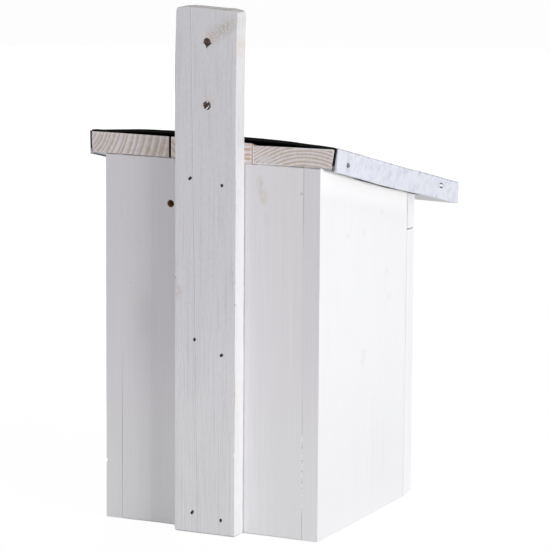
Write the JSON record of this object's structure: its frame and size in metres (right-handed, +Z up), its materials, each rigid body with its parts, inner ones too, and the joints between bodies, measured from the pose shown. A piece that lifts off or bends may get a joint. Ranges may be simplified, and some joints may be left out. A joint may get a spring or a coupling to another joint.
{
  "type": "nest box",
  "caption": "Wooden nest box with a felted pent roof, metal roof edge strips, a top-hung front door with an entrance hole, and a tall batten on its back for hanging it up.",
  "frame": {"origin": "the middle of the overall width and depth, on the level that the box stands on", "axes": "+Z up; the front with the entrance faces -Y, the batten's mounting face looks along +Y; +X is to the right as seen from the front"},
  "size_m": [0.1952, 0.2384, 0.3785],
  "materials": {
    "painted_wood": "matt white paint on planed softwood, thin enough to show some grain",
    "roof_wood": "softwood boards with a thin white wash, open end grain",
    "bare_wood": "bare planed softwood",
    "roofing_felt": "bitumen roofing felt with fine mineral grains",
    "galvanised_sheet": "galvanised sheet, dull and mottled",
    "zinc_plate": "bright zinc plate",
    "nail_steel": "dull steel wire"
  },
  "bodies": {
    "box": {"back_panel": "painted_wood", "side_panel_left": "painted_wood", "side_panel_right": "painted_wood", "floor_panel": "bare_wood", "front_header": "painted_wood", "header_nails": "nail_steel", "mounting_batten": "painted_wood", "batten_nails": "nail_steel", "roof_board_left": "roof_wood", "roof_board_middle": "roof_wood", "roof_board_right": "roof_wood", "roof_felt": "roofing_felt", "edge_strip_left": "galvanised_sheet", "edge_strip_right": "galvanised_sheet", "strip_nails_left": "nail_steel", "strip_nails_right": "nail_steel", "hinge_left_fixed_leaf": "zinc_plate", "hinge_left_pin": "nail_steel", "hinge_left_fixed_screws": "zinc_plate", "hinge_right_fixed_leaf": "zinc_plate", "hinge_right_pin": "nail_steel", "hinge_right_fixed_screws": "zinc_plate"},
    "door": {"front_door": "painted_wood", "hinge_left_door_leaf": "zinc_plate", "hinge_left_door_screws": "zinc_plate", "hinge_right_door_leaf": "zinc_plate", "hinge_right_door_screws": "zinc_plate"}
  },
  "joints": [
    {"name": "door_hinge", "type": "hinge", "parent": "box", "child": "door", "pos_m": [0, -0.06525, 0.20323], "axis": [-1, 0, 0], "range_deg": [0, 90]}
  ]
}
